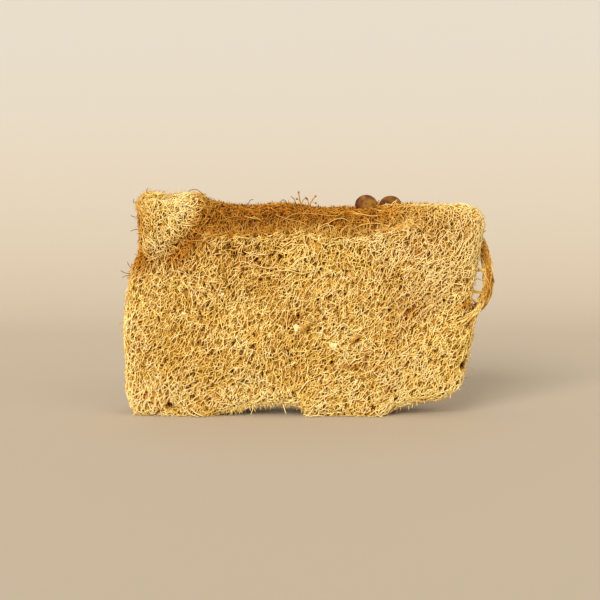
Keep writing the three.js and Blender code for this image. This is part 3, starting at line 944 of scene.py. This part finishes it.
SPRIGS = [
    ([(-3.4, 3, 99), (-3.6, 1.6, 104), (-4.3, 0.8, 107.6), (-4.7, 0.5, 110.2)], 0.34, 0.32, 0.6),
    ([(-3.4, 3, 100), (-3.2, 1.6, 104.6), (-2.2, 1.2, 106.6), (-1.0, 1, 107.4)], 0.28, 0.32, 0.6),
    ([(-3.7, 1.4, 105), (-4.8, 0.9, 106.6), (-5.6, 0.7, 106.9)], 0.26, 0.5, 0.55),
    ([(0.8, 3, 99), (0.9, 1.8, 104), (2.2, 1, 106.4), (3.7, 0.5, 108.2)], 0.34, 0.32, 0.6),
    ([(0.8, 3, 100), (0.3, 1.8, 104.6), (-0.4, 1.5, 106.8)], 0.26, 0.32, 0.6),
    ([(1.5, 1.4, 105.4), (2.6, 0.9, 105.4), (3.8, 0.8, 104.8)], 0.26, 0.5, 0.55),
]
TIP_RADIUS = 0.55
TIP_REACH = 0.5
ROUTE_STEP = 0.9


def along_route(points, count):
    """Evenly shared points on a smooth curve through the given points."""
    points = np.array(points, float)
    gaps = np.linalg.norm(np.diff(points, axis=0), axis=-1)
    travelled = np.concatenate([[0], np.cumsum(gaps)])
    share = np.linspace(0, travelled[-1], count)
    return stacked(*[curve(list(zip(travelled, axis)))(share) for axis in points.T])


def add_route(bundle, points, radius, tone, stain, sides=SIDES):
    """One fibre along a route, thinner at its ends."""
    length = np.linalg.norm(np.diff(np.array(points, float), axis=0), axis=-1).sum()
    path = along_route(points, max(4, round(length / ROUTE_STEP)))[None]
    ups = np.zeros_like(path) + (0.1, -1, 0.2)
    share = np.linspace(0, 1, path.shape[1])
    thick = radius * (0.7 + 0.3 * np.sin(math.pi * share) + 0.1 * np.sin(9 * share))[None]
    tones = np.zeros(path.shape[:2] + (2,)) + (tone, stain)
    add_tubes(bundle, path, ups, thick, tones, sides)


def build_loose(material):
    """Everything that stands off the net: fuzz, curls, fringe, single fibres and sprigs."""
    bundle = Bundle("loose_fibres")
    for add in (add_fuzz, add_edge_hairs, add_flap_curls, add_flap_edge, add_lip_curls, add_rim_stubs,
                add_fringe):
        add(bundle)
    for points, *look in FRONT_STRANDS:
        add_route(bundle, on_front(*np.array(points, float).T), *look)
    for route in SEED_STRANDS + STRAYS:
        add_route(bundle, *route)
    for points, radius, tone, stain in SPRIGS:
        add_route(bundle, points, radius, tone, stain, sides=6)
        tip = np.array(points[-1])
        knob = [tip - (0, 0, TIP_REACH), tip, tip + (0, 0, TIP_REACH)]
        add_route(bundle, knob, TIP_RADIUS, tone=0.25, stain=0.8, sides=6)
    return bundle.build(material)


# The loose strip that loops out of the right end, and the rope of fibre that it is made of
STRIP_ROUTE = [
    (78, -1, 93), (84, -2, 88), (87.2, -3, 81.5), (89, -3, 74), (89.6, -3, 66),
    (88.8, -3, 60.5), (87.1, -3, 56.4), (83, -2, 51.6), (76, 0, 48),
]
STRIP_POINTS = 14
STRIP_RADIUS = 2.35
STRIP_CORE = 0.8
STRIP_DEEP = 1.35
STRIP_STRANDS = 190
ROPE_STEPS = 90
ROPE_TURNS = (0.3, 1.0)
ROPE_INSIDE = 0.35
ROPE_SWELL = 0.18
ROPE_SWELLS = (2, 6)
ROPE_RADIUS = (0.18, 0.32)
ROPE_TONE_SPREAD = 0.12
ROPE_EDGE_TONE = 0.1
ROPE_EDGE_STAIN = -0.2
STRIP_HAIRS = 150

# Threads across the gap behind the strip: points, fibres
THREADS = [
    ([(80, -6, 73), (84.6, -4.4, 72), (88.6, -3, 71.2)], 12),
    ([(79, -6, 61.4), (83.6, -4.4, 61), (88.6, -3, 60)], 12),
    ([(82, -6, 82.6), (85.4, -4, 80.8), (87.6, -3, 79.6)], 10),
    ([(82, -6, 56.4), (84.6, -4, 55.6), (87, -3, 55)], 8),
    ([(81, -4, 67), (85, -3.6, 67.6), (89, -3, 67.2)], 1),
]
THREAD_RADIUS = 0.8
THREAD_POINTS = 9
FOOT_POINTS = 12

# Loose bundles that carry the ends of the strip over onto the face: points, radius, strands
STRIP_FEET = [
    ([(87, -4, 58), (85, -8, 54), (81, -12.2, 51), (77.4, -14.2, 48.8), (74, -15, 47)], 1.2, 20),
    ([(87, -4, 57), (84, -9, 52.6), (79.6, -13, 49), (76, -15, 46.6), (72.4, -15.8, 45.4)], 1.2, 16),
    ([(86.6, -3, 57), (84.6, -6, 53), (82, -9, 48.6), (79.6, -11, 43.6), (77.4, -12, 39)], 1.4, 12),
    ([(87, -3, 59), (85.6, -5, 54.6), (82, -9, 49.6), (78, -12.6, 45), (75, -14.4, 41)], 1.4, 10),
]


def along_fine(values, share):
    """Values given at even steps along a route, read at shares of the way along it."""
    at = share * (len(values) - 1)
    low = np.minimum(at.astype(int), len(values) - 2)
    blend = (at - low)[..., None]
    return (1 - blend) * values[low] + blend * values[low + 1]


def add_rope(bundle, route, radius, strands, points, tone, stain, wind=1.0, part=(1, 1)):
    """Fibres that wind loosely round each other along a route, each along a part of it."""
    middles = along_route(route, ROPE_STEPS)
    runs = unit(np.gradient(middles, axis=0))
    rights = unit(np.cross(runs, (0.0, 1.0, 0.2)))
    length = rng.uniform(*part, strands)[:, None]
    share = rng.uniform(0, 1, strands)[:, None] * (1 - length) + length * np.linspace(0, 1, points)
    middle = along_fine(middles, share)
    across = along_fine(rights, share)
    deep = np.cross(across, along_fine(runs, share))
    start = rng.uniform(0, 2 * math.pi, strands)[:, None]
    turns = rng.normal(*ROPE_TURNS, strands)[:, None] * wind
    reach = radius * np.sqrt(rng.uniform(ROPE_INSIDE, 1, strands))[:, None]
    waves_along = rng.uniform(*ROPE_SWELLS, strands)[:, None] * share
    reach = reach * (1 + ROPE_SWELL * np.sin(2 * math.pi * waves_along + start))
    angle = start + 2 * math.pi * turns * share
    paths = middle + (reach * np.cos(angle))[..., None] * across
    paths = paths + (STRIP_DEEP * reach * np.sin(angle))[..., None] * deep
    ups = unit(paths - middle + 1e-6)
    thick = rng.uniform(*ROPE_RADIUS, strands)[:, None]
    thick = thick * (1 + UNEVEN_THICKNESS * np.sin(30 * share + start))
    edge = np.abs(np.cos(angle))
    lightness = tone + rng.normal(0, ROPE_TONE_SPREAD, strands)[:, None] + 0.1 * mottle(paths, 4)
    lightness = lightness + ROPE_EDGE_TONE * edge
    stains = stain + 0.25 * mottle(paths, 3) + ROPE_EDGE_STAIN * edge
    add_tubes(bundle, paths, ups, thick, stacked(lightness, stains))


def build_strip(material):
    bundle = Bundle("strip")
    # A dark core inside the strip: painted shade between its strands.
    add_route(bundle, STRIP_ROUTE, STRIP_CORE * STRIP_RADIUS, tone=0.3, stain=0.7, sides=10)
    add_rope(bundle, STRIP_ROUTE, STRIP_RADIUS, STRIP_STRANDS, STRIP_POINTS, tone=0.51, stain=0.66,
             wind=1.8, part=(0.12, 0.4))
    middle = along_route(STRIP_ROUTE, STRIP_HAIRS)
    headings = rng.normal(0, 1, middle.shape)
    roots = middle + STRIP_RADIUS * unit(headings)
    add_hairs(bundle, roots, headings, rng.uniform(0.6, 1.8, STRIP_HAIRS), 1.2, radius=(0.13, 0.22))
    for route, strands in THREADS:
        add_rope(bundle, route, THREAD_RADIUS, strands, THREAD_POINTS, tone=0.64, stain=0.3)
    for route, radius, strands in STRIP_FEET:
        add_rope(bundle, route, radius, strands, FOOT_POINTS, tone=0.62, stain=0.24,
                 wind=0.8, part=(0.4, 0.85))
    return bundle.build(material)


# Small brown rolls of matted fibre on the front: x, z, half length, slant, radius
ROLLS = [(-1.2, 45.2, 3.4, 1.0, 1.3), (22.6, 39, 2.2, 0.9, 1.0)]
ROLL_HEIGHTS = (-0.6, 0.5, -0.6)
ROLL_CORE = 0.9
ROLL_STRANDS = 20
ROLL_POINTS = 10


def build_rolls(material):
    bundle = Bundle("rolls")
    for x, z, reach, slant, radius in ROLLS:
        run = np.array([math.cos(slant), 0, math.sin(slant)]) * reach
        middle = np.array([x, -HALF_THICK, z], float)
        route, normal = settle(np.stack([middle - run, middle, middle + run]), 6)
        route = route + normal * np.array(ROLL_HEIGHTS)[:, None]
        # A dark core inside the roll: painted shade between its strands.
        add_route(bundle, route, ROLL_CORE * radius, tone=0.3, stain=0.6, sides=8)
        add_rope(bundle, route, radius, ROLL_STRANDS, ROLL_POINTS, tone=0.46, stain=0.6)
    return bundle.build(material)


# Flecks of dried pulp caught in the net: x, z, half width, half height
FLECKS = [
    (-5.5, 44.5, 1.5, 1.9), (12.4, 35.4, 2.1, 1.7), (-61, 51, 1.2, 1), (-23, 44, 0.9, 0.8),
    (-90, 30, 0.8, 0.8), (34, 58, 0.9, 0.7), (52, 30, 0.9, 0.7), (-42, 61, 0.9, 0.7),
]
FLECK_THICK = 0.8
FLECK_CRUMPLE = 0.45
FLECK_BULGES = 0.12
FLECK_NOTCHES = 0.08
FLECK_RINGS = 12
FLECK_SPOKES = 20


def globe(rings, spokes, opening):
    """Angles down and round a globe, and its faces, with a small cap at each pole."""
    down = np.linspace(opening, math.pi - opening, rings)[:, None]
    around = np.linspace(0, 2 * math.pi, spokes, endpoint=False)[None]
    numbers = np.arange(rings * spokes).reshape(rings, spokes)
    after = np.roll(numbers, -1, axis=1)
    quads = np.stack([numbers[:-1], numbers[1:], after[1:], after[:-1]], axis=-1).reshape(-1, 4)
    return down, around, [quads, numbers[:1], numbers[-1:, ::-1]]


def build_flecks(material):
    """Small crumpled cream patches, pressed between the strands."""
    bundle = Bundle("pulp_flecks")
    for x, z, wide, tall in FLECKS:
        centre, normal = settle(np.array([[x, -HALF_THICK, z]], float), 6)
        ring, spoke, faces = globe(FLECK_RINGS, FLECK_SPOKES, 0.02)
        ragged = 1 + FLECK_BULGES * np.sin(3 * spoke + x) + FLECK_NOTCHES * np.sin(5 * spoke + z)
        out = np.sin(ring) * ragged
        offset = stacked(wide * out * np.cos(spoke), FLECK_THICK * np.cos(ring) + np.zeros_like(spoke),
                         tall * out * np.sin(spoke))
        places = centre[0] - normal[0] * 0.1 + offset
        places = places + FLECK_CRUMPLE * mottle(places, 0.7)[..., None] * normal[0]
        bundle.add(places, np.zeros(places.shape[:-1] + (2,)), faces)
    return bundle.build(material)


# The two seeds caught in the top rim: name, CAD node, centre, lean
SEEDS = [
    ("seed_left_coat", "seed_left", (29.2, 3.4, 103.8), 0.16),
    ("seed_right_coat", "seed_right", (41.1, 3.8, 103.4), -0.12),
]
SEED_SIZE = np.array([11.6, 5.4, 10.4]) / 2
SEED_FLATNESS = 0.65
SEED_POINT = 0.12
SEED_RIM = 0.16
SEED_RIM_WEAR = 0.03
SEED_LUMPS = 0.02
SEED_RINGS = 40
SEED_SPOKES = 56


def build_seed(name, centre, lean, material):
    """A plump flat oval seed with a worn rim and a slight point at its foot."""
    bundle = Bundle(name, "tones")
    ring, spoke, faces = globe(SEED_RINGS, SEED_SPOKES, 0.01)
    flat = np.sin(ring) ** SEED_FLATNESS
    x = flat * np.cos(spoke)
    z = flat * np.sin(spoke)
    y = np.cos(ring) + np.zeros_like(spoke)
    x = x * (1 - SEED_POINT * np.clip(-z, 0, 1) ** 2)
    places = stacked(x, y, z) * SEED_SIZE
    rim = np.exp(-((y / SEED_RIM) ** 2))
    places = places * (1 - SEED_RIM_WEAR * rim[..., None])
    places = places * (1 + SEED_LUMPS * mottle(places + centre, 2.2)[..., None])
    turn = np.array([[math.cos(lean), 0, math.sin(lean)], [0, 1, 0],
                     [-math.sin(lean), 0, math.cos(lean)]])
    places = places @ turn.T + centre
    # Painted shade on the seed's flanks, strongest on the left.
    flank = smoothstep(0.45, 1.0, -x) + 0.6 * smoothstep(0.75, 1.0, x)
    tones = stacked(flank, np.full_like(flank, 0.5))
    bundle.add(places, tones, faces)
    return bundle.build(material)


# The matted felt under the net, painted dark as painted shade under the fibre
FELT_STEP = 1.7
FELT_DEPTH = 1.7
FELT_SHADE_TONE = 0.3
FELT_ROUGHNESS = 0.25
FELT_DIPS = 1.3


def box_grid(counts):
    """Corner numbers and quads of a closed box grid."""
    quads = []
    for axis in range(3):
        first, second = (axis + 1) % 3, (axis + 2) % 3
        a, b = np.meshgrid(np.arange(counts[first]), np.arange(counts[second]), indexing="ij")
        for side in (0, 1):
            corners = []
            for da, db in ((0, 0), (1, 0), (1, 1), (0, 1)):
                corner = np.zeros(a.shape + (3,), int)
                corner[..., axis] = side * counts[axis]
                corner[..., first] = a + da
                corner[..., second] = b + db
                corners.append(corner)
            quad = np.stack(corners if side else corners[::-1], axis=-2)
            quads.append(quad.reshape(-1, 4, 3))
    quads = np.concatenate(quads)
    corners, order = np.unique(quads.reshape(-1, 3), axis=0, return_inverse=True)
    return corners, order.reshape(-1, 4)


def build_felt(material):
    counts = [round(size / FELT_STEP) for size in (2 * HALF_WIDTH, 2 * HALF_THICK, HEIGHT)]
    corners, quads = box_grid(counts)
    shares = corners / np.array(counts)
    places, normal = settle(on_box(*shares.T), 6)
    depth = FELT_DEPTH + FELT_ROUGHNESS * rng.normal(size=len(places)) - mottles(places, LUMPS)
    depth = depth + FELT_DIPS * dips(places)
    places = places - normal * depth[:, None]
    # Painted shade: the felt is dark, and darker still in pits and pores.
    tone = FELT_SHADE_TONE + 0.08 * mottle(places, 6) - SHADE_IN_DIPS * dips(places)
    bundle = Bundle("felt", "tones")
    bundle.add(places, stacked(tone, stain_and_shade_at(places)), [quads])
    return bundle.build(material)


def colour(red, green, blue):
    """A colour given as 0 to 255 values, in the linear form that Blender takes."""
    share = np.array([red, green, blue]) / 255
    linear = np.where(share <= 0.04045, share / 12.92, ((share + 0.055) / 1.055) ** 2.4)
    return (*linear.tolist(), 1.0)


# Colours of the materials, as ramps of (place, colour)
GOLD_RAMP = [(0.0, colour(86, 44, 2)), (0.3, colour(196, 139, 42)), (0.55, colour(239, 194, 86)),
             (0.8, colour(254, 222, 132)), (1.0, colour(255, 240, 182))]
BROWN_RAMP = [(0.0, colour(56, 20, 0)), (0.3, colour(132, 70, 2)), (0.55, colour(184, 112, 12)),
              (0.8, colour(218, 154, 46)), (1.0, colour(242, 200, 110))]
PULP_RAMP = [(0.3, colour(206, 172, 96)), (0.5, colour(228, 208, 146)), (0.7, colour(240, 228, 180))]
SEED_RAMP = [(0.3, colour(74, 34, 2)), (0.46, colour(116, 70, 12)), (0.6, colour(142, 98, 30)),
             (0.78, colour(98, 50, 8))]
# Dark flanks of the seeds: painted shade.
SEED_FLANK_SHADE = colour(82, 28, 6)
FELT_CELLS = 560
# Felt pores painted near black at the cell edges: painted shade.
PORE_SHADE_EDGE = [(0.1, (0, 0, 0, 1)), (0.3, (1, 1, 1, 1))]
PORE_SHADE_COLOUR = colour(48, 20, 0)
FLOOR_RAMP = [(0.0, colour(192, 176, 153)), (0.25, colour(183, 177, 165))]


class Look:
    """A new material, with short ways to add linked nodes to it."""

    def __init__(self, name):
        self.material = bpy.data.materials.new(name)
        self.material.use_nodes = True
        self.nodes = self.material.node_tree.nodes
        self.links = self.material.node_tree.links
        self.shader = self.nodes["Principled BSDF"]

    def add(self, kind, output, **inputs):
        """One output of a new node, with its inputs linked to outputs or set to numbers."""
        node = self.nodes.new(kind)
        self.fill(node, inputs)
        return node.outputs[output]

    def fill(self, node, inputs):
        for name, value in inputs.items():
            if isinstance(value, bpy.types.NodeSocket):
                self.links.new(value, node.inputs[name])
            else:
                node.inputs[name].default_value = value

    def place(self):
        return self.add("ShaderNodeTexCoord", "Object")

    def tone_and_stain(self, tone_map):
        """The two numbers that each vertex keeps in the named map."""
        node = self.nodes.new("ShaderNodeUVMap")
        node.uv_map = tone_map
        parts = self.nodes.new("ShaderNodeSeparateXYZ")
        self.links.new(node.outputs["UV"], parts.inputs[0])
        return parts.outputs["X"], parts.outputs["Y"]

    def ramp(self, share, stops):
        """Colours read from a ramp of (place, colour) stops."""
        ramp = self.nodes.new("ShaderNodeValToRGB")
        elements = ramp.color_ramp.elements
        while len(elements) < len(stops):
            elements.new(0.5)
        for element, (place, value) in zip(elements, stops):
            element.position = place
            element.color = value
        self.links.new(share, ramp.inputs["Fac"])
        return ramp.outputs["Color"]

    def mix(self, share, first, second):
        mix = self.nodes.new("ShaderNodeMix")
        mix.data_type = "RGBA"
        self.fill(mix, {"Factor": share, "A": first, "B": second})
        return mix.outputs["Result"]

    def fibre_colour(self, tone_map):
        """Golden to brown, by the tone and the stain, which carry painted highlight and painted shade as well
        as the fibre's own colour.
        """
        tone, stain = self.tone_and_stain(tone_map)
        return self.mix(stain, self.ramp(tone, GOLD_RAMP), self.ramp(tone, BROWN_RAMP))

    def dressed(self, base_colour, height=None, distance=0.0, invert=False):
        """The material with its colour and, where a height is given, its bump."""
        self.links.new(base_colour, self.shader.inputs["Base Color"])
        if height is not None:
            bump = self.nodes.new("ShaderNodeBump")
            bump.invert = invert
            self.fill(bump, {"Height": height, "Distance": distance})
            self.links.new(bump.outputs["Normal"], self.shader.inputs["Normal"])
        return self.material


def fibre_material():
    """Golden to brown fibre, coloured by each strand's own tone and stain, which also carry painted
    highlights on the crests and painted shade low down and in hollows.
    """
    look = Look("loofah_fibre")
    look.shader.inputs["Roughness"].default_value = 0.58
    look.shader.inputs["Specular IOR Level"].default_value = 0.25
    return look.dressed(look.fibre_colour("OFBake"))


def pulp_material():
    """Dried pulp: cream, with small buff patches."""
    look = Look("dried_pulp")
    look.shader.inputs["Roughness"].default_value = 0.8
    patches = look.add("ShaderNodeTexNoise", "Fac", Vector=look.place(), Scale=900)
    return look.dressed(look.ramp(patches, PULP_RAMP), patches, 0.0003)


def seed_material():
    """Brown seed coat, mottled and a little worn, with painted shade darkening its flanks."""
    look = Look("seed_coat")
    look.shader.inputs["Roughness"].default_value = 0.75
    look.shader.inputs["Specular IOR Level"].default_value = 0.25
    place = look.place()
    patches = look.add("ShaderNodeTexNoise", "Fac", Vector=place, Scale=260, Detail=5)
    grain = look.add("ShaderNodeTexNoise", "Fac", Vector=place, Scale=1500)
    # Painted shade on the seed's flanks, read from the tones map.
    flank, _ = look.tone_and_stain("tones")
    return look.dressed(look.mix(flank, look.ramp(patches, SEED_RAMP), SEED_FLANK_SHADE), grain, 0.00012)


def felt_material():
    """Matted fibre under the net, painted dark, with small pores painted near black: painted shade."""
    look = Look("loofah_felt")
    look.shader.inputs["Roughness"].default_value = 0.85
    cells = look.nodes.new("ShaderNodeTexVoronoi")
    cells.feature = "DISTANCE_TO_EDGE"
    look.fill(cells, {"Vector": look.place(), "Scale": FELT_CELLS})
    edge = cells.outputs["Distance"]
    # Painted shade: the pores at the cell edges are near black.
    base = look.mix(look.ramp(edge, PORE_SHADE_EDGE), look.fibre_colour("tones"), PORE_SHADE_COLOUR)
    return look.dressed(base, edge, 0.0006, invert=True)


def floor_material():
    """Pale paint, a little darker on the floor than on the wall behind."""
    look = Look("floor_paint")
    look.shader.inputs["Roughness"].default_value = 0.85
    height = look.add("ShaderNodeSeparateXYZ", "Z", Vector=look.place())
    return look.dressed(look.ramp(height, FLOOR_RAMP))


# Camera, light and floor
VIEW_WIDTH = 300.0
FOCAL = 85.0
SENSOR = 36.0
ELEVATION = math.radians(5)
AIM = Vector((-4.0, 0.0, 56.5))

# Suns: name, where they shine from, how wide they look, strength, tint
SUNS = [
    ("key", (-0.45, -1.0, 0.5), 34, 3.1, (1.0, 0.98, 0.94)),
    ("fill", (0.8, -0.9, 0.3), 60, 0.8, (1.0, 0.98, 0.95)),
]
SKY_TINT = (1.0, 0.98, 0.95, 1)
SKY_STRENGTH = 0.55

# The floor runs from its front edge to a sweep and up a wall, in metres
FLOOR_FRONT = -1.6
FLOOR_HALF_WIDTH = 2.5
SWEEP_START = 0.35
SWEEP_RADIUS = 0.5
SWEEP_STEPS = 16
WALL_TOP = 2.5


def build_floor():
    """A pale floor that sweeps up into a backdrop."""
    profile = [(FLOOR_FRONT, 0.0), (SWEEP_START, 0.0)]
    for i in range(1, SWEEP_STEPS + 1):
        angle = -math.pi / 2 + i / SWEEP_STEPS * math.pi / 2
        profile.append((SWEEP_START + SWEEP_RADIUS * math.cos(angle),
                        SWEEP_RADIUS + SWEEP_RADIUS * math.sin(angle)))
    profile.append((SWEEP_START + SWEEP_RADIUS, WALL_TOP))
    verts = [(side, y, z) for y, z in profile for side in (-FLOOR_HALF_WIDTH, FLOOR_HALF_WIDTH)]
    faces = [(2 * i, 2 * i + 1, 2 * i + 3, 2 * i + 2) for i in range(len(profile) - 1)]
    mesh = bpy.data.meshes.new("floor")
    mesh.from_pydata(verts, [], faces)
    for polygon in mesh.polygons:
        polygon.use_smooth = True
    mesh.materials.append(floor_material())
    add_object("floor", mesh)


def add_sun(name, place, spread_angle, strength, tint):
    """A soft distant light that shines from a direction towards the object."""
    light = bpy.data.lights.new(name, "SUN")
    light.angle = math.radians(spread_angle)
    light.energy = strength
    light.color = tint
    lamp = add_object(name, light)
    lamp.location = place
    lamp.rotation_euler = Vector(place).to_track_quat("Z", "Y").to_euler()


def build_lights():
    bpy.context.scene.view_settings.view_transform = "Standard"
    for sun in SUNS:
        add_sun(*sun)
    world = bpy.context.scene.world or bpy.data.worlds.new("world")
    bpy.context.scene.world = world
    world.use_nodes = True
    background = world.node_tree.nodes["Background"]
    background.inputs["Color"].default_value = SKY_TINT
    background.inputs["Strength"].default_value = SKY_STRENGTH


def build_camera():
    lens = bpy.data.cameras.new("camera")
    lens.lens = FOCAL
    lens.sensor_width = SENSOR
    lens.clip_start = 0.01
    reach = VIEW_WIDTH * FOCAL / SENSOR
    camera = add_object("camera", lens)
    back = Vector((0, -math.cos(ELEVATION), math.sin(ELEVATION)))
    camera.location = (AIM + back * reach) * MM
    camera.rotation_euler = (-back).to_track_quat("-Z", "Y").to_euler()
    bpy.context.scene.camera = camera


def main():
    build_camera()
    build_lights()
    build_floor()
    fibre = fibre_material()
    pieces = [build_felt(felt_material()), *build_net(fibre), build_loose(fibre),
              build_strip(fibre), build_rolls(fibre), build_flecks(pulp_material())]
    for piece in pieces:
        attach(piece, "root")
        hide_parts("loofah_sponge")
    coat = seed_material()
    for name, node, centre, lean in SEEDS:
        seed = build_seed(name, centre, lean, coat)
        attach(seed, "root")
        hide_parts(node)


main()
